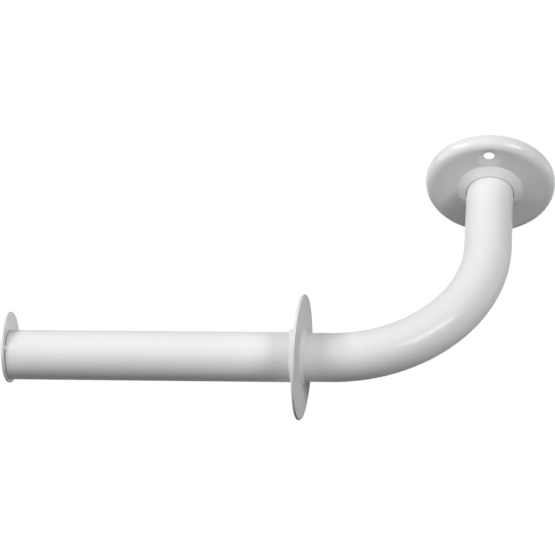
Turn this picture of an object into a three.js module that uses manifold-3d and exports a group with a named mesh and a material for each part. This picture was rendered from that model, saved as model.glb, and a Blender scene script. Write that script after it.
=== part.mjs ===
// Wall-mounted roll holder: a steel tube arm welded to a pressed steel flange, all under white coat.
// Millimetres, +Z up. The wall is the plane y = 0, the flange's centre is the origin, the wall leg
// runs out towards -Y and the roll bar runs towards -X.
import * as THREE from 'three';
import { mergeVertices } from 'three/addons/utils/BufferGeometryUtils.js';
import Module from 'manifold-3d';

// Tube and arm
const tubeDiameter = 22;          // elbow tube
const barDiameter = 22.5;         // roll bar
const tubeWall = 1.5;             // of both
const bendRadius = 68;            // to the tube's centreline
const wallToArm = 111.2;          // wall to the roll bar's centreline
const rollBarLength = 132.6;      // stop disc to the bar's free end, along its centreline
const elbowRun = 12.6;            // straight tube between the bend and the stop disc
const wallClearance = 1.5;        // the elbow's wall end stays this far off the wall

// Discs
const discSheet = 1.4;
const discEdgeBreak = 0.3;        // bevel on both rims of each disc
const stopLip = 17.2;             // how far the stop disc stands out from the tube
const stopLean = 2.9;             // degrees off square to the bar, its wall side towards the elbow
const ventDiameter = 8;           // air hole in the stop disc, hidden by the two tubes
const endTab = 9.45;              // end disc beyond the bar on the wall side, which keeps the roll on
const endLip = 0.45;              // and on the room side
const endSeam = 0.3;              // open joint between the bar's end and the end disc

// Flange, pressed from one sheet and hollow behind
const flangeDiameter = 61;
const flangeSheet = 0.9;
const flangeHeight = 6.3;         // wall to the face where it leaves the rim
const faceDish = 0.5;             // how much nearer the wall the face is at the cone's foot
const rimRound = 4.05;            // outside radius of the rim
const collarHeight = 2.9;         // rise of the cone round the tube above its foot
const collarWidth = 4.65;         // tube to the cone's foot
const footRound = 0.4;            // radius in the corner at the cone's foot
const collarSeam = 0.4;           // fine ring gap between the cone and the tube

// Screw holes, one above and one below the tube
const holeDiameter = 5.1;
const holeFromEdge = 9.05;        // flange edge to the hole's centre
const seatDiameter = 11.4;        // shallow pressed seat around each hole
const seatDepth = 0.93;
const seatLand = 0.5;             // how much wider the seat is behind the sheet

// Welds
const stopBead = 3.5;             // leg of the fillet on the roll side of the stop disc
const elbowBead = 1.5;            // leg of the finer fillet on its other side
const flangeBead = 1.5;           // leg of the fillet inside the flange
const tackBead = 1.1;             // leg of each tack at the end disc
const tackLength = 2.4;
const tackAngles = [65, 150, 210, 295];   // degrees round the bar, from the room side upwards
const beadHollow = 0.35;          // how much of its leg a fillet's face is sunk
const beadGap = 0.1;              // between a bead and the tube that it runs round
const beadMargin = 0.4;           // from the stop disc's bead to the clear part of its face

// Facets
const tubeSegments = 40;
const discSegments = 64;
const flangeSegments = 60;
const bendSteps = 22;
const roundSteps = 5;
const beadSteps = 3;

// Worked out from the sizes above
const tubeRadius = tubeDiameter / 2;
const barRadius = barDiameter / 2;
const flangeRadius = flangeDiameter / 2;
const collarSlope = Math.atan2(collarHeight, collarWidth - collarSeam);
const footRadius = tubeRadius + collarWidth;
const faceSlope = Math.atan2(faceDish, flangeRadius - rimRound - footRadius);
const flangeTop = flangeHeight - faceDish + collarHeight;
const holeRadius = flangeRadius - holeFromEdge;           // hole's centre from the flange's
const lean = THREE.MathUtils.degToRad(stopLean);
const legLength = wallToArm - bendRadius - wallClearance;
const bendLength = bendRadius * Math.PI / 2;
const stopFaceX = -(bendRadius + elbowRun);               // stop disc, elbow side
const stopRollX = stopFaceX - discSheet / Math.cos(lean); // stop disc, roll side
const stopDiscRadius = tubeRadius + stopLip;
const stopClearRadius = barRadius + beadGap + stopBead + beadMargin;
const barEndX = stopRollX - rollBarLength;
const endFaceX = barEndX - endSeam;                       // end disc, roll side
const endDiscRadius = (barDiameter + endTab + endLip) / 2;
const endDiscShift = (endTab - endLip) / 2;               // bar's centre to the end disc's

const wasm = await Module();
wasm.setup();

// Finishes
const coats = {
  tube: { color: 0xf1f1ee, roughness: 0.28, metalness: 0 },
  disc: { color: 0xeff0ee, roughness: 0.32, metalness: 0 },
  flange: { color: 0xeeefec, roughness: 0.25, metalness: 0 },
  weld: { color: 0xecece8, roughness: 0.4, metalness: 0 },
};

const holder = new THREE.Group();

function addPiece(name, coat, geometry, place = [0, 0, 0]) {
  const mesh = new THREE.Mesh(geometry, new THREE.MeshStandardMaterial(coats[coat]));
  mesh.name = name;
  mesh.position.set(...place);
  holder.add(mesh);
  return mesh;
}

// Turns a profile of [radius, height] points about the Y axis. One that never meets the axis is
// closed on itself, and either kind is wound so that its faces point out.
function turn(profile, segments) {
  const points = profile.map(([radius, height]) => new THREE.Vector2(radius, height));
  if (THREE.ShapeUtils.area(points) < 0) points.reverse();
  const meetsAxis = points.some((point) => point.x === 0);
  return new THREE.LatheGeometry(meetsAxis ? points : [...points, points[0].clone()], segments);
}

// Lays a shape turned about Y along the bar: what pointed up points to the free end.
const toFreeEnd = (geometry) => geometry.rotateZ(Math.PI / 2);
const toElbow = (geometry) => geometry.rotateZ(-Math.PI / 2);

// Slants what meets the stop disc to the disc's lean. The slant fades from all of it at x = 0 to
// none at x = reach, so that a tube's other end stays square.
function slant(geometry, reach = Infinity) {
  const points = geometry.attributes.position;
  for (let index = 0; index < points.count; index += 1) {
    const share = 1 - points.getX(index) / reach;
    points.setX(index, points.getX(index) + points.getY(index) * Math.tan(lean) * share);
  }
  geometry.computeVertexNormals();
  return geometry;
}

// The outside of a bent sheet through corners of [radius, height, rounding], as points with the
// sheet's outward normal at each one.
function roundedSheet(corners) {
  const heading = (from, to) => new THREE.Vector2(to[0] - from[0], to[1] - from[1]).normalize();
  const outwards = (way) => new THREE.Vector2(way.y, -way.x);
  const path = [];
  corners.forEach((corner, index) => {
    const point = new THREE.Vector2(corner[0], corner[1]);
    const entry = index > 0 ? heading(corners[index - 1], corner) : null;
    const exit = index < corners.length - 1 ? heading(corner, corners[index + 1]) : null;
    if (!entry || !exit) {
      path.push({ point, normal: outwards(entry ?? exit) });
      return;
    }
    const rounding = corner[2];
    const side = Math.sign(entry.cross(exit));
    const angle = Math.acos(entry.dot(exit));
    const start = point.clone().addScaledVector(entry, -rounding * Math.tan(angle / 2));
    const centre = start.clone().addScaledVector(outwards(entry), -side * rounding);
    for (let step = 0; step <= roundSteps; step += 1) {
      const normal = outwards(entry).rotateAround(new THREE.Vector2(), side * angle * step / roundSteps);
      path.push({ point: centre.clone().addScaledVector(normal, side * rounding), normal });
    }
  });
  return path;
}

// A fillet weld's section in the corner between a tube and a face, with equal legs.
function beadSection(inner, leg) {
  const section = [[inner, 0]];
  for (let step = 0; step <= beadSteps; step += 1) {
    const angle = (Math.PI / 2) * (step / beadSteps);
    const reach = leg * (1 - beadHollow * Math.sin(2 * angle));
    section.push([inner + reach * Math.cos(angle), reach * Math.sin(angle)]);
  }
  return section;
}

// To a solid that can be cut and joined, and back.
function solidOf(geometry) {
  const bare = geometry.clone();
  bare.deleteAttribute('normal');
  bare.deleteAttribute('uv');
  const merged = mergeVertices(bare, 1e-4);
  return new wasm.Manifold(new wasm.Mesh({
    numProp: 3,
    vertProperties: new Float32Array(merged.attributes.position.array),
    triVerts: new Uint32Array(merged.index.array),
  }));
}

function geometryOf(solid) {
  const { vertProperties, triVerts } = solid.getMesh();
  const geometry = new THREE.BufferGeometry();
  geometry.setAttribute('position', new THREE.BufferAttribute(new Float32Array(vertProperties), 3));
  geometry.setIndex(new THREE.BufferAttribute(new Uint32Array(triVerts), 1));
  geometry.computeVertexNormals();
  return geometry;
}

// Roll bar: the straight tube that the roll slides over.
function rollBar() {
  const bore = barRadius - tubeWall;
  const profile = [[bore, 0], [barRadius, 0], [barRadius, rollBarLength], [bore, rollBarLength]];
  return slant(toFreeEnd(turn(profile, tubeSegments)), -rollBarLength);
}

// Elbow tube: turned straight, with cuts where it will bend, then bent a quarter turn.
function elbowTube() {
  const bore = tubeRadius - tubeWall;
  const stations = [0];
  for (let step = 0; step <= bendSteps; step += 1) stations.push(legLength + bendLength * step / bendSteps);
  stations.push(legLength + bendLength + elbowRun);
  const outside = stations.map((along) => [tubeRadius, along]);
  const inside = stations.map((along) => [bore, along]);
  const geometry = turn([...outside, ...inside.reverse()], tubeSegments);
  const points = geometry.attributes.position;
  for (let index = 0; index < points.count; index += 1) {
    const along = points.getY(index);
    const reach = bendRadius + points.getX(index);        // bend centre to this fibre of the tube
    const angle = THREE.MathUtils.clamp((along - legLength) / bendRadius, 0, Math.PI / 2);
    const beyond = Math.max(along - legLength - bendLength, 0);
    const x = reach * Math.cos(angle) - bendRadius - beyond;
    const y = -wallClearance - Math.min(along, legLength) - reach * Math.sin(angle);
    const slanted = (y + wallToArm) * Math.tan(lean) * beyond / elbowRun;    // to meet the stop disc
    points.setXYZ(index, x + slanted, y, -points.getZ(index));
  }
  geometry.computeVertexNormals();
  return geometry;
}

// A flat round disc with broken edges, and a hole where bore is over zero. Where welds run round
// it inside clearFrom, both faces have an edge there, so the flat that a roll meets is free of them.
function roundDisc(radius, bore, clearFrom = 0) {
  const near = clearFrom > bore ? [[bore, 0], [clearFrom, 0]] : [[bore, 0]];
  const rim = [
    [radius - discEdgeBreak, 0], [radius, discEdgeBreak],
    [radius, discSheet - discEdgeBreak], [radius - discEdgeBreak, discSheet],
  ];
  const far = near.map(([reach]) => [reach, discSheet]).reverse();
  return toFreeEnd(turn([...near, ...rim, ...far], discSegments));
}

// A weld bead that runs right round a tube, with its flat side at the bottom.
function ringBead(outside, leg) {
  return turn(beadSection(outside + beadGap, leg), tubeSegments);
}

// A tack: a short straight bead with its inner corner on the Z axis.
function tack() {
  const corner = beadSection(0, tackBead).map(([across, along]) => new THREE.Vector2(across, along));
  const shape = new THREE.Shape(corner);
  const geometry = new THREE.ExtrudeGeometry(shape, { depth: tackLength, bevelEnabled: false });
  return geometry.translate(0, 0, -tackLength / 2);
}

// A round cutter that goes right through the flange, centred at z.
function drill(radius, segments, z) {
  return solidOf(new THREE.CylinderGeometry(radius, radius, 4 * flangeTop, segments).translate(0, 0, z));
}

// A screw seat's cutter, square to the face on one side of the tube. Its wide end is at a depth
// below the face and goes on out by lead.
function seatCone(side, depth, wider, lead) {
  const wide = seatDiameter / 2 + wider;
  const narrow = holeDiameter / 2 + wider;
  const low = -depth - seatDepth;
  const profile = [[0, low], [narrow, low], [wide, -depth], [wide, lead - depth], [0, lead - depth]];
  const faceHeight = flangeHeight - (flangeRadius - rimRound - holeRadius) * Math.tan(faceSlope);
  const cone = turn(profile, tubeSegments).rotateX(-side * faceSlope);
  return solidOf(cone.translate(0, faceHeight, side * holeRadius));
}

// Flange: rim, slightly dished face and cone from one sheet, pierced for the tube and for two screws.
function wallFlange() {
  const footHeight = flangeHeight - faceDish;
  const inmost = tubeRadius - flangeSheet;                // pierced away again below
  const outside = roundedSheet([
    [flangeRadius, 0],
    [flangeRadius, flangeHeight + rimRound * Math.tan(faceSlope), rimRound],
    [footRadius, footHeight, footRound],
    [inmost, footHeight + (footRadius - inmost) * Math.tan(collarSlope)],
  ]);
  const front = outside.map(({ point }) => point.toArray());
  const inwards = ({ point, normal }) => point.clone().addScaledVector(normal, -flangeSheet);
  const back = outside.map((spot) => inwards(spot).toArray());
  let sheet = solidOf(turn([...front, ...back.reverse()], flangeSegments));
  sheet = sheet.subtract(drill(tubeRadius + collarSeam, flangeSegments, 0));
  for (const side of [1, -1]) {
    sheet = sheet.add(seatCone(side, flangeSheet, seatLand, flangeSheet / 2));
    sheet = sheet.subtract(seatCone(side, 0, 0, rimRound));
    sheet = sheet.subtract(drill(holeDiameter / 2, tubeSegments, side * holeRadius));
  }
  return geometryOf(sheet).rotateX(Math.PI);
}

// The bead behind the flange: it fills the corner between the tube and the cone's underside.
function flangeWeld() {
  const inner = tubeRadius + beadGap;
  const underside = flangeTop - flangeSheet / Math.cos(collarSlope) - beadGap;
  const rise = (radius) => (tubeRadius + collarSeam - radius) * Math.tan(collarSlope);
  const section = beadSection(inner, flangeBead)
    .map(([radius, down]) => [radius, underside + rise(radius) - down]);
  return turn(section, flangeSegments).rotateX(Math.PI);
}

addPiece('wall_flange', 'flange', wallFlange());
addPiece('flange_weld', 'weld', flangeWeld());
addPiece('elbow_tube', 'tube', elbowTube());
const elbowWeld = slant(toElbow(ringBead(tubeRadius, elbowBead)));
addPiece('elbow_weld', 'weld', elbowWeld, [stopFaceX, -wallToArm, 0]);
const stopDisc = roundDisc(stopDiscRadius, ventDiameter / 2, stopClearRadius).rotateZ(-lean);
addPiece('stop_disc', 'disc', stopDisc, [stopFaceX, -wallToArm, 0]);
const stopWeld = slant(toFreeEnd(ringBead(barRadius, stopBead)));
addPiece('stop_disc_weld', 'weld', stopWeld, [stopRollX, -wallToArm, 0]);
addPiece('roll_bar', 'tube', rollBar(), [stopRollX, -wallToArm, 0]);
addPiece('end_disc', 'disc', roundDisc(endDiscRadius, 0), [endFaceX, endDiscShift - wallToArm, 0]);

tackAngles.forEach((degrees, index) => {
  const angle = THREE.MathUtils.degToRad(degrees);
  const radial = new THREE.Vector3(0, -Math.cos(angle), Math.sin(angle));
  const towardsElbow = new THREE.Vector3(1, 0, 0);
  const around = radial.clone().cross(towardsElbow);
  const corner = radial.clone().multiplyScalar(barRadius + beadGap);
  const place = [endFaceX, corner.y - wallToArm, corner.z];
  const piece = addPiece(`end_disc_tack_${index + 1}`, 'weld', tack(), place);
  piece.quaternion.setFromRotationMatrix(new THREE.Matrix4().makeBasis(radial, towardsElbow, around));
});

export default holder;
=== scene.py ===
import math

import bmesh
import bpy
from mathutils import Matrix, Vector


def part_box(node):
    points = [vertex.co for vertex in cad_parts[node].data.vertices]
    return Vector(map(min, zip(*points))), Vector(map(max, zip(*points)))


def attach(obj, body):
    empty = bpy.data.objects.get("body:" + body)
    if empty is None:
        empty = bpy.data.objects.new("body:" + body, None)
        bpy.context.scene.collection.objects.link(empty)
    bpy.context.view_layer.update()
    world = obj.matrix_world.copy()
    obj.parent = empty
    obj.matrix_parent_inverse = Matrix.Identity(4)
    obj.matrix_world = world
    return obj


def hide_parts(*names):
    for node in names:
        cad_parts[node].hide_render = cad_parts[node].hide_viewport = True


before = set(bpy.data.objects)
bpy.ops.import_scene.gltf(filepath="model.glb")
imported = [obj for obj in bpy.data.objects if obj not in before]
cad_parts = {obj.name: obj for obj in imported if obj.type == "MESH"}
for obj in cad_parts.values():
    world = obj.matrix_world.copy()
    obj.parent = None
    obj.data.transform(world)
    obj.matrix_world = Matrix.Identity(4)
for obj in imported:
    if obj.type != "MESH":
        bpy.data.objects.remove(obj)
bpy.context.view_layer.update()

mm = 0.001
wall = Vector((0, 0, 0))              # centre of the flange, on the wall
barAxisY = sum(corner.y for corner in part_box("roll_bar")) / 2
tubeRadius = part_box("elbow_tube")[1].z
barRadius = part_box("roll_bar")[1].z
bendRadius = 68 * mm
elbowRun = 12.6 * mm                  # straight tube between the bend and the stop disc
tubeWall = 1.5 * mm
tubeAround = 128                      # facets round either tube
lean = math.radians(2.9)              # stop disc off square to the bar, wall side towards the elbow
discSheet = 1.4 * mm
stopFace = Vector((-bendRadius - elbowRun, barAxisY, 0))            # elbow side, on the bar's line
stopBack = stopFace - Vector((discSheet / math.cos(lean), 0, 0))    # roll side
seat = 0.02 * mm                      # a bead stays this far off the tube that it runs round


# helpers for modelling

def deselect():
    if bpy.context.mode != "OBJECT":
        bpy.ops.object.mode_set(mode="OBJECT")
    bpy.ops.object.select_all(action="DESELECT")


def keepPlace(name):
    # names the primitive just added and puts its place into its mesh
    piece = bpy.context.object
    piece.name = piece.data.name = name
    bpy.ops.object.transform_apply(location=True, rotation=True, scale=True)
    return piece


def addRing(name, radius, around, place, tilt):
    # an open ring of edges, the start of everything that is turned or extruded
    deselect()
    bpy.ops.mesh.primitive_circle_add(vertices=around, radius=radius, fill_type="NOTHING",
                                      location=place, rotation=tilt)
    ring = keepPlace(name)
    bpy.ops.object.mode_set(mode="EDIT")
    bpy.ops.mesh.select_all(action="SELECT")
    return ring


alongX = (0, math.radians(90), 0)     # ring that faces along the bar
alongY = (math.radians(90), 0, 0)     # ring that faces the wall


def pullRing(offset, centre=None, grow=1.0):
    # carries the selected ring on by offset, then widens it about centre
    bpy.ops.mesh.extrude_edges_move(TRANSFORM_OT_translate={"value": tuple(offset)})
    if centre is not None and abs(grow - 1) > 1e-9:
        bpy.ops.transform.resize(value=(grow, grow, grow), center_override=tuple(centre))


def pullProfile(profile, centre, axis):
    # carries the selected ring through (radius, travel) points; it stands at the first one
    for (radius, travel), (nextRadius, nextTravel) in zip(profile, profile[1:]):
        pullRing(axis * (nextTravel - travel), centre + axis * nextTravel, nextRadius / radius)


def pick(kind, test):
    # selects the verts, edges or faces whose middle passes the test
    bpy.ops.mesh.select_mode(type=kind)
    bpy.ops.mesh.select_all(action="DESELECT")
    shape = bmesh.from_edit_mesh(bpy.context.edit_object.data)
    for part in {"VERT": shape.verts, "EDGE": shape.edges, "FACE": shape.faces}[kind]:
        if kind == "VERT":
            middle = part.co
        elif kind == "EDGE":
            middle = (part.verts[0].co + part.verts[1].co) / 2
        else:
            middle = part.calc_center_median()
        part.select_set(test(middle))
    shape.select_flush_mode()
    bmesh.update_edit_mesh(bpy.context.edit_object.data)


def closeRing():
    # joins the two open ends of a turned section and turns its faces outwards
    bpy.ops.mesh.select_mode(type="EDGE")
    bpy.ops.mesh.select_all(action="DESELECT")
    bpy.ops.mesh.select_non_manifold()
    bpy.ops.mesh.bridge_edge_loops()
    faceOut()


def faceOut():
    bpy.ops.mesh.select_mode(type="VERT")
    bpy.ops.mesh.select_all(action="SELECT")
    bpy.ops.mesh.remove_doubles(threshold=0.00001)
    bpy.ops.mesh.normals_make_consistent(inside=False)


def slantEnd(piece, start, reach=math.inf):
    # slants what meets the stop disc to its lean, fading to none at start.x + reach
    for vert in piece.data.vertices:
        share = 1 - (vert.co.x - start.x) / reach
        if 0 < share:
            vert.co.x += (vert.co.y - start.y) * math.tan(lean) * min(share, 1)


def applyModifier(piece, kind, **settings):
    modifier = piece.modifiers.new(kind.title(), kind)
    for setting, value in settings.items():
        setattr(modifier, setting, value)
    bpy.context.view_layer.objects.active = piece
    bpy.ops.object.modifier_apply(modifier=modifier.name)


def finishPiece(piece, node, coat, smooth=35):
    # shades and coats the piece, and sets it in the place of its CAD node
    deselect()
    piece.select_set(True)
    bpy.context.view_layer.objects.active = piece
    bpy.ops.object.shade_smooth_by_angle(angle=math.radians(smooth))
    piece.data.materials.clear()
    piece.data.materials.append(coat)
    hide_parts(node)
    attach(piece, "root")
    print("made", piece.name, len(piece.data.polygons), "faces")


# finishes

def linear(code):
    # sRGB hex to the linear colour that the shader takes
    values = [int(code[i:i + 2], 16) / 255 for i in (1, 3, 5)]
    return tuple(v / 12.92 if v <= 0.04045 else ((v + 0.055) / 1.055) ** 2.4 for v in values) + (1,)


def addNode(tree, kind, settings=None, values=None, links=None):
    node = tree.nodes.new(kind)
    for setting, value in (settings or {}).items():
        setattr(node, setting, value)
    for socket, value in (values or {}).items():
        node.inputs[socket].default_value = value
    for socket, source in (links or {}).items():
        tree.links.new(source, node.inputs[socket])
    return node


def whiteCoat(name, look):
    # Polyester powder coat, sprayed and baked: a pigmented gloss skin that levels into a
    # shallow orange peel, so that reflections have a soft, slightly wavy edge. Fine pores in
    # the skin leave it a little hazy: that share of it doesn't mirror.
    coat = bpy.data.materials.new(name)
    coat.use_nodes = True
    tree = coat.node_tree
    tree.nodes.clear()
    cloudLow, cloudHigh = 0.3, 0.7    # where the coat counts as thin and as full
    place = addNode(tree, "ShaderNodeTexCoord").outputs["Object"]
    cloud = addNode(tree, "ShaderNodeTexNoise", values={
        "Scale": 1 / look["cloud"], "Detail": 2.0, "Roughness": 0.5}, links={"Vector": place})
    tone = addNode(tree, "ShaderNodeValToRGB", links={"Fac": cloud.outputs["Fac"]})
    tone.color_ramp.elements[0].position = cloudLow
    tone.color_ramp.elements[0].color = linear(look["thin"])
    tone.color_ramp.elements[1].position = cloudHigh
    tone.color_ramp.elements[1].color = linear(look["full"])
    gloss = addNode(tree, "ShaderNodeMapRange", values={
        "From Min": cloudLow, "From Max": cloudHigh, "To Min": look["roughness"] + look["spread"],
        "To Max": look["roughness"] - look["spread"]}, links={"Value": cloud.outputs["Fac"]})
    peel = addNode(tree, "ShaderNodeTexNoise", values={
        "Scale": 1 / look["peel"], "Detail": 1.0, "Roughness": 0.4}, links={"Vector": place})
    grain = addNode(tree, "ShaderNodeTexNoise", values={
        "Scale": 1 / look["grain"], "Detail": 2.0, "Roughness": 0.6}, links={"Vector": place})
    wave = addNode(tree, "ShaderNodeBump", values={
        "Strength": 1.0, "Distance": look["peelDepth"]}, links={"Height": peel.outputs["Fac"]})
    skin = addNode(tree, "ShaderNodeBump", values={
        "Strength": 1.0, "Distance": look["grainDepth"]},
        links={"Height": grain.outputs["Fac"], "Normal": wave.outputs["Normal"]})
    shader = addNode(tree, "ShaderNodeBsdfPrincipled", values={
        "IOR": 1.5, "Metallic": 0.0, "Specular IOR Level": 0.5},
        links={"Base Color": tone.outputs["Color"], "Roughness": gloss.outputs["Result"],
               "Normal": skin.outputs["Normal"]})
    haze = addNode(tree, "ShaderNodeBsdfDiffuse", links={
        "Color": tone.outputs["Color"], "Normal": skin.outputs["Normal"]})
    both = addNode(tree, "ShaderNodeMixShader", values={"Fac": look["haze"]},
                   links={1: shader.outputs["BSDF"], 2: haze.outputs["BSDF"]})
    addNode(tree, "ShaderNodeOutputMaterial", links={"Surface": both.outputs["Shader"]})
    return coat


# on the tubes the coat levels well: long soft streaks of light with quiet edges
tubeCoat = whiteCoat("glossWhitePowderCoatOnTube", {
    "full": "#f1f1f0", "thin": "#eff0ef", "cloud": 30 * mm, "roughness": 0.13, "spread": 0.03,
    "haze": 0.55, "peel": 2.2 * mm, "peelDepth": 0.004 * mm,
    "grain": 0.5 * mm, "grainDepth": 0.0006 * mm})
# the stop disc was sprayed thin between the welds: a dull, hazy skin that mirrors least
discCoat = whiteCoat("hazyWhitePowderCoatOnStopDisc", {
    "full": "#eff0ef", "thin": "#edeeed", "cloud": 18 * mm, "roughness": 0.16, "spread": 0.03,
    "haze": 0.9, "peel": 1.8 * mm, "peelDepth": 0.005 * mm,
    "grain": 0.5 * mm, "grainDepth": 0.0008 * mm})
# the end disc stands free, so it took more powder: glossier, and lighter seen from the side
endCoat = whiteCoat("glossWhitePowderCoatOnEndDisc", {
    "full": "#f1f1f0", "thin": "#eff0ef", "cloud": 18 * mm, "roughness": 0.16, "spread": 0.03,
    "haze": 0.3, "peel": 1.8 * mm, "peelDepth": 0.005 * mm,
    "grain": 0.5 * mm, "grainDepth": 0.0008 * mm})
# on the pressed flange it is glossiest: two clear spots of light on the rim
flangeCoat = whiteCoat("glossWhitePowderCoatOnPressing", {
    "full": "#f0f1f0", "thin": "#eeefee", "cloud": 24 * mm, "roughness": 0.12, "spread": 0.03,
    "haze": 0.2, "peel": 2.4 * mm, "peelDepth": 0.004 * mm,
    "grain": 0.5 * mm, "grainDepth": 0.0006 * mm})
# over the weld beads it is thin and a little rough, which softens their ripples
weldCoat = whiteCoat("whitePowderCoatOverWeld", {
    "full": "#eeefee", "thin": "#e9eae9", "cloud": 5 * mm, "roughness": 0.24, "spread": 0.03,
    "haze": 0.5, "peel": 1.2 * mm, "peelDepth": 0.012 * mm,
    "grain": 0.4 * mm, "grainDepth": 0.002 * mm})
print("finishes ready")


def makeRollBar():
    # straight tube, open at both ends, with eased edges
    bar = {"ease": 0.35 * mm, "bands": 16}
    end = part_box("roll_bar")[0].x
    piece = addRing("rollBar", barRadius, tubeAround, stopBack, alongX)
    for _ in range(bar["bands"]):
        pullRing(((end - stopBack.x) / bar["bands"], 0, 0))
    faceOut()
    bpy.ops.object.mode_set(mode="OBJECT")
    applyModifier(piece, "SOLIDIFY", thickness=tubeWall, offset=-1, use_even_offset=True)
    applyModifier(piece, "BEVEL", width=bar["ease"], segments=3, limit_method="ANGLE",
                  angle_limit=math.radians(50))
    slantEnd(piece, stopBack, end - stopBack.x)
    finishPiece(piece, "roll_bar", tubeCoat)


def makeElbow():
    # out from the wall, round a quarter bend, up to the stop disc
    elbow = {"ease": 0.35 * mm, "bendSteps": 64, "legBands": 6, "armBands": 3}
    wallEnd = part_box("elbow_tube")[1].y
    bendStart = barAxisY + bendRadius
    piece = addRing("elbowTube", tubeRadius, tubeAround, (0, wallEnd, 0), alongY)
    for _ in range(elbow["legBands"]):
        pullRing((0, (bendStart - wallEnd) / elbow["legBands"], 0))
    bpy.ops.mesh.spin(steps=elbow["bendSteps"], angle=math.radians(90),
                      center=(-bendRadius, bendStart, 0), axis=(0, 0, 1))
    for _ in range(elbow["armBands"]):
        pullRing((-elbowRun / elbow["armBands"], 0, 0))
    faceOut()
    bpy.ops.object.mode_set(mode="OBJECT")
    applyModifier(piece, "SOLIDIFY", thickness=tubeWall, offset=-1, use_even_offset=True)
    applyModifier(piece, "BEVEL", width=elbow["ease"], segments=3, limit_method="ANGLE",
                  angle_limit=math.radians(50))
    slantEnd(piece, stopFace, elbowRun)
    finishPiece(piece, "elbow_tube", tubeCoat)


# discs: blanked from sheet, with the rim rounded over by the coat

def makeStopDisc():
    disc = {"around": 192, "vent": 4 * mm, "rings": 12, "ease": 0.5 * mm}
    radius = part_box("stop_disc")[1].z
    middle = stopFace + Vector((-math.cos(lean), math.sin(lean), 0)) * discSheet / 2
    piece = addRing("stopDisc", disc["vent"], disc["around"], middle, alongX)
    for ring in range(disc["rings"]):
        inner = disc["vent"] + (radius - disc["vent"]) * ring / disc["rings"]
        outer = disc["vent"] + (radius - disc["vent"]) * (ring + 1) / disc["rings"]
        pullRing((0, 0, 0), middle, outer / inner)
    faceOut()
    bpy.ops.transform.rotate(value=lean, orient_axis="Z", center_override=middle)
    bpy.ops.object.mode_set(mode="OBJECT")
    applyModifier(piece, "SOLIDIFY", thickness=discSheet, offset=0)
    applyModifier(piece, "BEVEL", width=disc["ease"], segments=4, limit_method="ANGLE",
                  angle_limit=math.radians(50))
    finishPiece(piece, "stop_disc", discCoat)


def makeEndDisc():
    disc = {"around": 160, "rings": 6, "ease": 0.5 * mm}
    low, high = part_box("end_disc")
    middle = (low + high) / 2
    radius = (high.z - low.z) / 2
    deselect()
    bpy.ops.mesh.primitive_cylinder_add(vertices=disc["around"], radius=radius, depth=high.x - low.x,
                                        location=middle, rotation=alongX)
    piece = keepPlace("endDisc")
    bpy.ops.object.mode_set(mode="EDIT")
    for ring in range(disc["rings"]):   # rings on both faces keep the rim's shading off the flat
        nearAxis = radius * (1 - ring / disc["rings"]) * 0.1
        pick("FACE", lambda m: abs(m.x - middle.x) > 0.4 * (high.x - low.x)
             and math.hypot(m.y - middle.y, m.z - middle.z) < nearAxis)
        bpy.ops.mesh.inset(thickness=radius / (disc["rings"] + 1), use_individual=True)
    faceOut()
    bpy.ops.object.mode_set(mode="OBJECT")
    applyModifier(piece, "BEVEL", width=disc["ease"], segments=4, limit_method="ANGLE",
                  angle_limit=math.radians(50))
    finishPiece(piece, "end_disc", endCoat)


# welds: beads with a run of ripples, smoothed over by the coat

def filletSection(inner, leg, hollow=1.35, steps=9):
    # from the face that the bead lies on, over its front, to the tube; a hollow of 1 is a flat
    # front. The coat has pulled the bead's edges out thin, so both of them run out low
    section = []
    for step in range(steps + 1):
        share = (1 - math.cos(math.pi * step / steps)) / 2
        section.append((inner + leg * (1 - share) ** hollow, leg * share ** hollow))
    section[-1] = (inner, leg)
    return section


def rippleBead(centre, inner, bead):
    # lifts every other part of the bead's front a little, as the torch's steps leave it
    def crest(m):
        spot = m - centre
        spot.x = spot.x if bead["axis"] != "x" else 0
        spot.y = spot.y if bead["axis"] != "y" else 0
        turn = math.atan2(spot.z, spot.y if bead["axis"] == "x" else spot.x)
        phase = turn / math.tau * bead["ripples"] + bead["drift"] * math.sin(3 * turn)
        return spot.length > inner + 0.15 * mm and phase % 1 < 0.5

    pick("VERT", crest)
    bpy.ops.transform.shrink_fatten(value=bead["lift"])
    bpy.ops.mesh.select_all(action="SELECT")
    bpy.ops.mesh.vertices_smooth(factor=0.5, repeat=1)


def swellBead(place, inner, swell, axis):
    # where the weld's run ends on its own start: the bead stands fatter there, layer on layer
    def near(m, half):
        spot = m - place
        turn = math.degrees(math.atan2(spot.z, spot.y)) - swell["turn"]
        return abs((turn + 180) % 360 - 180) < half

    def onTube(m):
        return math.hypot(m.y - place.y, m.z - place.z) <= inner + 0.05 * mm

    def front(m):
        return not onTube(m) and abs(m.x - place.x) > swell["offDisc"]

    def edge(m):
        return onTube(m) and abs(m.x - place.x) > swell["edgeFrom"]

    for layer in range(swell["layers"]):
        half = swell["half"] * (1 - layer / swell["layers"]) ** swell["taper"]
        pick("VERT", lambda m: near(m, half) and front(m))
        bpy.ops.transform.shrink_fatten(value=swell["rise"])
        pick("VERT", lambda m: near(m, half) and edge(m))
        bpy.ops.transform.translate(value=axis * swell["run"])
    pick("VERT", lambda m: near(m, swell["half"] + swell["blend"]) and front(m))
    bpy.ops.mesh.vertices_smooth(factor=0.5, repeat=6)


def makeRingWeld(name, node, bead, outside, place, axis):
    # one bead round a tube: a turned fillet, closed along the tube
    inner = outside + seat
    section = filletSection(inner, bead["leg"]) + [(inner, 0)]
    piece = addRing(name, section[0][0], bead["around"], place, alongX)
    pullProfile(section[:-1], place, axis)
    closeRing()
    if "swell" in bead:
        swellBead(place, inner, bead["swell"], axis)
    rippleBead(place, inner, bead)
    bpy.ops.object.mode_set(mode="OBJECT")
    slantEnd(piece, place)
    finishPiece(piece, node, weldCoat, 60)


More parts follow.
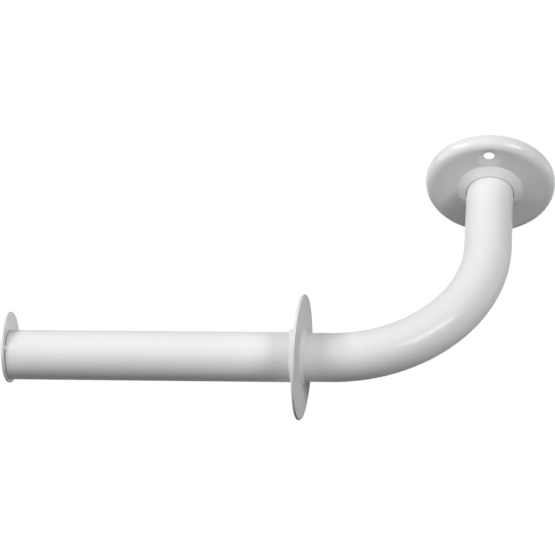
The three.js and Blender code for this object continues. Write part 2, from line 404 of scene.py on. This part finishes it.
def makeDiscWelds():
    # turn is from the wall side upwards; it, half and blend are in degrees
    overlap = {"turn": 40, "half": 42, "blend": 4, "layers": 6, "taper": 0.8, "rise": 0.3 * mm,
               "run": 0.42 * mm, "offDisc": 0.5 * mm, "edgeFrom": 2 * mm}
    rollSide = {"leg": 3.9 * mm, "around": 336, "ripples": 38, "drift": 0.4, "lift": 0.10 * mm,
                "axis": "x", "swell": overlap}
    elbowSide = {"leg": 1.5 * mm, "around": 336, "ripples": 50, "drift": 0.3, "lift": 0.05 * mm,
                 "axis": "x"}
    makeRingWeld("stopDiscWeld", "stop_disc_weld", rollSide, barRadius, stopBack, Vector((-1, 0, 0)))
    makeRingWeld("elbowWeld", "elbow_weld", elbowSide, tubeRadius, stopFace, Vector((1, 0, 0)))


# wall flange: one pressed sheet, hollow behind
flange = {"around": 360, "sheet": 0.9 * mm, "face": 6.3 * mm, "dish": 0.5 * mm,
          "rimRound": 4.05 * mm, "collarFoot": 15.65 * mm, "footRound": 0.4 * mm, "seam": 0.4 * mm,
          "holeRadius": 2.55 * mm, "holeFromMiddle": 21.45 * mm, "seatRadius": 5.7 * mm,
          "seatDepth": 0.93 * mm, "holeEase": 0.15 * mm, "edgeEase": 0.25 * mm}


def roundCorner(before, corner, after, rounding, steps):
    # points on the arc that rounds a corner of the profile
    before, corner, after = Vector(before), Vector(corner), Vector(after)
    entry, leave = (corner - before).normalized(), (after - corner).normalized()
    turn = entry.angle_signed(leave)
    start = corner - entry * rounding * math.tan(abs(turn) / 2)
    centre = start + Vector((-entry.y, entry.x)) * math.copysign(rounding, -turn)
    arc = []
    for step in range(steps + 1):
        spoke = start - centre
        spoke.rotate(Matrix.Rotation(-turn * step / steps, 2))
        arc.append(tuple(centre + spoke))
    return arc


def flangeProfile(radius, top):
    # (radius, height) from the wall, over the rim and down the dished face to the cone's top
    faceIn = radius - flange["rimRound"]
    faceSlope = math.atan2(flange["dish"], faceIn - flange["collarFoot"])
    wallEdge = (radius, 0)
    rim = (radius, flange["face"] + flange["rimRound"] * math.tan(faceSlope))
    foot = (flange["collarFoot"], flange["face"] - flange["dish"])
    crown = (tubeRadius + flange["seam"], top)
    overRim = roundCorner(wallEdge, rim, foot, flange["rimRound"], 14)
    atFoot = roundCorner(rim, foot, crown, flange["footRound"], 5)
    halfUp = (radius, overRim[0][1] / 2)
    outer, inner = overRim[-1], atFoot[0]
    # one ring of the face runs through the middles of the screw holes
    share = (outer[0] - flange["holeFromMiddle"]) / (outer[0] - inner[0])
    stops = [share * band / 14 for band in range(1, 15)]
    stops += [share + (1 - share) * band / 16 for band in range(1, 16)]
    face = [(outer[0] + (inner[0] - outer[0]) * stop, outer[1] + (inner[1] - outer[1]) * stop)
            for stop in stops]
    last = atFoot[-1]
    cone = [(last[0] + (crown[0] - last[0]) * band / 6, last[1] + (crown[1] - last[1]) * band / 6)
            for band in range(1, 7)]
    coneSlope = math.atan2(crown[1] - foot[1], foot[0] - crown[0])
    return [wallEdge, halfUp] + overRim + face + atFoot + cone, faceSlope, coneSlope


def faceHeightAtHole(faceSlope):
    # the face dips a little between the rim and the cone, so the holes' middles lie lower
    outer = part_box("wall_flange")[1].z - flange["rimRound"]
    return flange["face"] - (outer - flange["holeFromMiddle"]) * math.tan(faceSlope)


def makeFlange():
    low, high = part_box("wall_flange")
    profile, faceSlope, coneSlope = flangeProfile(high.z, -low.y)
    piece = addRing("wallFlange", high.z, flange["around"], wall, alongY)
    pullProfile(profile, wall, Vector((0, -1, 0)))
    faceOut()

    # each screw seat is pressed in before the sheet gets its thickness: a cone in the sheet
    seatSlope = flange["seatDepth"] / (flange["seatRadius"] - flange["holeRadius"])
    for side in (1, -1):
        hole = Vector((0, -faceHeightAtHole(faceSlope), side * flange["holeFromMiddle"]))
        pick("VERT", lambda m: (m - hole).length < 0.1 * mm)
        bpy.ops.transform.translate(
            value=(0, flange["seatRadius"] * seatSlope, 0), use_proportional_edit=True,
            proportional_edit_falloff="LINEAR", use_proportional_connected=False,
            use_proportional_projected=False, proportional_size=flange["seatRadius"])
        edge = Vector((0, hole.z))
        pick("VERT", lambda m: abs((Vector((m.x, m.z)) - edge).length - flange["seatRadius"]) < 1 * mm)
        bpy.ops.mesh.vertices_smooth(factor=0.5, repeat=4)

    bpy.ops.object.mode_set(mode="OBJECT")
    applyModifier(piece, "SOLIDIFY", thickness=flange["sheet"], offset=-1, use_even_offset=True)

    # the collar is pierced square to the wall, so its back edge is opened to the bore
    bpy.ops.object.mode_set(mode="EDIT")
    collarIn = tubeRadius + flange["seam"]
    backIn = collarIn - flange["sheet"] * math.sin(coneSlope)
    pick("VERT", lambda m: math.hypot(m.x, m.z) < (collarIn + backIn) / 2)
    bpy.ops.transform.resize(value=(collarIn / backIn, 1, collarIn / backIn), center_override=(0, 0, 0))
    bpy.ops.transform.translate(value=(0, (collarIn - backIn) * math.tan(coneSlope), 0))
    bpy.ops.object.mode_set(mode="OBJECT")
    applyModifier(piece, "BEVEL", width=flange["edgeEase"], segments=3, limit_method="ANGLE",
                  angle_limit=math.radians(40))

    for side in (1, -1):
        drill = makeDrill(side, faceHeightAtHole(faceSlope))
        applyModifier(piece, "BOOLEAN", operation="DIFFERENCE", solver="MANIFOLD", object=drill)
        bpy.data.objects.remove(drill)
    finishPiece(piece, "wall_flange", flangeCoat, 40)


def makeDrill(side, faceHeight):
    # a punch with flared shoulders, so that the hole it leaves has eased edges
    front = -(faceHeight - flange["seatDepth"])
    back = front + flange["sheet"]
    hole, ease = flange["holeRadius"], flange["holeEase"]
    centre = Vector((0, 0, side * flange["holeFromMiddle"]))
    past = 2 * mm    # how far the punch stands out of the sheet on both sides
    turns = [math.radians(90) * step / 4 for step in range(5)]
    shoulder = [(hole + ease * (1 - math.sin(turn)), ease * (1 - math.cos(turn))) for turn in turns]
    profile = [(hole + ease, -past)] + shoulder
    profile += [(radius, back - front - down) for radius, down in reversed(shoulder)]
    profile.append((hole + ease, back - front + past))
    start = centre + Vector((0, front, 0))
    piece = addRing("drill", profile[0][0], 64, start + Vector((0, profile[0][1], 0)), alongY)
    pullProfile(profile, start, Vector((0, 1, 0)))
    bpy.ops.mesh.select_mode(type="EDGE")
    bpy.ops.mesh.select_all(action="DESELECT")
    bpy.ops.mesh.select_non_manifold()
    bpy.ops.mesh.edge_face_add()
    faceOut()
    bpy.ops.object.mode_set(mode="OBJECT")
    return piece


def makeFlangeWeld():
    # behind the flange, in the corner between the tube and the cone's underside
    bead = {"leg": 1.5 * mm, "around": 300, "ripples": 38, "drift": 0.5, "lift": 0.08 * mm,
            "axis": "y"}
    inner = tubeRadius + seat
    collarIn = tubeRadius + flange["seam"]
    flangeTop = -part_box("wall_flange")[0].y
    coneSlope = flangeProfile(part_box("wall_flange")[1].z, flangeTop)[2]
    underside = -flangeTop + flange["sheet"] / math.cos(coneSlope) + 0.05 * mm
    section = [(radius, down - (collarIn - radius) * math.tan(coneSlope))
               for radius, down in filletSection(inner + 0.05 * mm, bead["leg"])]
    start = (0, underside + section[0][1], 0)
    piece = addRing("flangeWeld", section[0][0], bead["around"], start, alongY)
    pullProfile(section, Vector((0, underside, 0)), Vector((0, 1, 0)))
    closeRing()
    rippleBead(wall, inner + 0.1 * mm, bead)
    finishPiece(piece, "flange_weld", weldCoat, 60)


def makeTacks():
    # short beads in the corner between the bar and the end disc
    tack = {"leg": 1.05 * mm, "length": 2.4 * mm, "swell": [1.0, 0.93, 0.96, 0.9]}
    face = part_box("end_disc")[1].x
    centre = Vector((face, barAxisY, 0))
    deselect()
    bpy.ops.mesh.primitive_uv_sphere_add(segments=32, ring_count=20, radius=1,
                                         location=centre + Vector((0, 0, barRadius)))
    bpy.ops.transform.resize(value=(tack["leg"], tack["length"] / 2, tack["leg"]))
    master = keepPlace("tackMaster")
    bpy.ops.object.mode_set(mode="EDIT")
    bpy.ops.mesh.select_all(action="SELECT")
    bpy.ops.mesh.bisect(plane_co=centre + Vector((0.01 * mm, 0, 0)), plane_no=(1, 0, 0),
                        use_fill=True, clear_inner=True)
    bpy.ops.mesh.select_all(action="SELECT")
    bpy.ops.mesh.bisect(plane_co=centre + Vector((0, 0, barRadius + seat)), plane_no=(0, 0, 1),
                        use_fill=True, clear_inner=True)
    faceOut()
    bpy.ops.object.mode_set(mode="OBJECT")
    for number, swell in enumerate(tack["swell"], 1):
        node = f"end_disc_tack_{number}"
        low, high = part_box(node)
        spot = (low + high) / 2 - centre
        angle = math.atan2(spot.z, spot.y) - math.radians(90)
        piece = master.copy()
        piece.data = master.data.copy()
        piece.name = piece.data.name = f"endDiscTack{number}"
        bpy.context.collection.objects.link(piece)
        corner = centre + Vector((0, 0, barRadius))
        shape = (Matrix.Translation(centre) @ Matrix.Rotation(angle, 4, "X") @ Matrix.Translation(-centre)
                 @ Matrix.Translation(corner) @ Matrix.Scale(swell, 4) @ Matrix.Translation(-corner))
        piece.data.transform(shape)
        finishPiece(piece, node, weldCoat, 50)
    bpy.data.objects.remove(master)


makeRollBar()
makeElbow()
makeStopDisc()
makeEndDisc()
makeDiscWelds()
makeFlange()
makeFlangeWeld()
makeTacks()
print("pieces ready")


# studio

def makeStudio():
    # the floor and the world look white to the camera and in gloss; the light that they throw
    # on the holder is the floor's own grey in the lamps' light, and none from the world
    studio = {"floorDrop": 0.45, "floorSize": 8.0, "floorTone": "#5d605e", "floorGlow": 0.95,
              "worldLevel": 0.0}
    deselect()
    bpy.ops.mesh.primitive_plane_add(size=studio["floorSize"], location=(0, 0, -studio["floorDrop"]))
    floor = bpy.context.object
    floor.name = "studioFloor"

    paper = bpy.data.materials.new("palePaperFloor")
    paper.use_nodes = True
    tree = paper.node_tree
    tree.nodes.clear()
    seen = seenDirectly(tree)
    matt = addNode(tree, "ShaderNodeBsdfDiffuse", values={"Color": linear(studio["floorTone"])})
    glow = addNode(tree, "ShaderNodeEmission", values={
        "Color": (1, 1, 1, 1), "Strength": studio["floorGlow"]})
    lit = addNode(tree, "ShaderNodeAddShader", links={0: matt.outputs[0], 1: glow.outputs[0]})
    both = addNode(tree, "ShaderNodeMixShader", links={0: seen, 1: matt.outputs[0], 2: lit.outputs[0]})
    addNode(tree, "ShaderNodeOutputMaterial", links={"Surface": both.outputs[0]})
    floor.data.materials.append(paper)

    world = bpy.data.worlds.new("studioWorld")
    bpy.context.scene.world = world
    world.use_nodes = True
    tree = world.node_tree
    tree.nodes.clear()
    seen = seenDirectly(tree)
    dim = addNode(tree, "ShaderNodeBackground", values={"Strength": studio["worldLevel"]})
    white = addNode(tree, "ShaderNodeBackground", values={"Color": (1, 1, 1, 1), "Strength": 1.0})
    both = addNode(tree, "ShaderNodeMixShader", links={0: seen, 1: dim.outputs[0], 2: white.outputs[0]})
    addNode(tree, "ShaderNodeOutputWorld", links={"Surface": both.outputs[0]})


def seenDirectly(tree):
    # 1 for what the camera sees, straight on or through gloss and glass
    path = addNode(tree, "ShaderNodeLightPath")
    first = addNode(tree, "ShaderNodeMath", {"operation": "MAXIMUM"}, links={
        0: path.outputs["Is Camera Ray"], 1: path.outputs["Is Glossy Ray"]})
    return addNode(tree, "ShaderNodeMath", {"operation": "MAXIMUM"}, links={
        0: first.outputs[0], 1: path.outputs["Is Transmission Ray"]}).outputs[0]


def makeLamps():
    middle = Vector((-0.08, -0.07, 0))
    # turn is from the room side towards +X and rise is above the floor, both in degrees
    lamps = {
        "overheadPanel": {"turn": 0, "rise": 84, "far": 1.1, "size": (2.4, 1.4), "watts": 4.6},
        "frontPanel": {"turn": 0, "rise": 48, "far": 1.2, "size": (1.8, 0.9), "watts": 1.6},
        "leftKey": {"turn": -86, "rise": 50, "far": 1.2, "size": (0.5, 0.5), "watts": 6.0},
        "leftRim": {"turn": -118, "rise": 34, "far": 1.2, "size": (0.22, 0.14), "watts": 2.4},
        "leftLowPanel": {"turn": -90, "rise": 10, "far": 1.2, "size": (1.2, 0.5), "watts": 3.0,
                         "tone": "#f4fff8"},
        "rightLowPanel": {"turn": 104, "rise": -12, "far": 1.2, "size": (0.9, 0.3), "watts": 1.0},
        "rightKey": {"turn": 66, "rise": 46, "far": 1.2, "size": (0.6, 0.36), "watts": 5.8},
    }
    for name, lamp in lamps.items():
        turn, rise = math.radians(lamp["turn"]), math.radians(lamp["rise"])
        way = Vector((math.sin(turn) * math.cos(rise), -math.cos(turn) * math.cos(rise),
                      math.sin(rise)))
        light = bpy.data.lights.new(name, "AREA")
        light.shape = "RECTANGLE"
        light.size, light.size_y = lamp["size"]
        light.energy = lamp["watts"]
        light.color = linear(lamp.get("tone", "#ffffff"))[:3]
        box = bpy.data.objects.new(name, light)
        box.location = middle + way * lamp["far"]
        box.rotation_euler = way.to_track_quat("Z", "Y").to_euler()
        bpy.context.scene.collection.objects.link(box)


def makeCamera():
    view = {"place": (0.0361, -0.7852, 0.7917), "tilt": (42.60, 5.00, 4.98), "lens": 151.4,
            "shift": (-0.0006, 0.0009)}
    lens = bpy.data.cameras.new("holderCamera")
    lens.sensor_width = 36
    lens.lens = view["lens"]
    lens.shift_x, lens.shift_y = view["shift"]
    lens.clip_start = 0.05
    camera = bpy.data.objects.new("holderCamera", lens)
    camera.location = view["place"]
    camera.rotation_euler = [math.radians(angle) for angle in view["tilt"]]
    bpy.context.scene.collection.objects.link(camera)
    bpy.context.scene.camera = camera


makeStudio()
makeLamps()
makeCamera()
bpy.context.scene.view_settings.view_transform = "Standard"
print("studio ready")
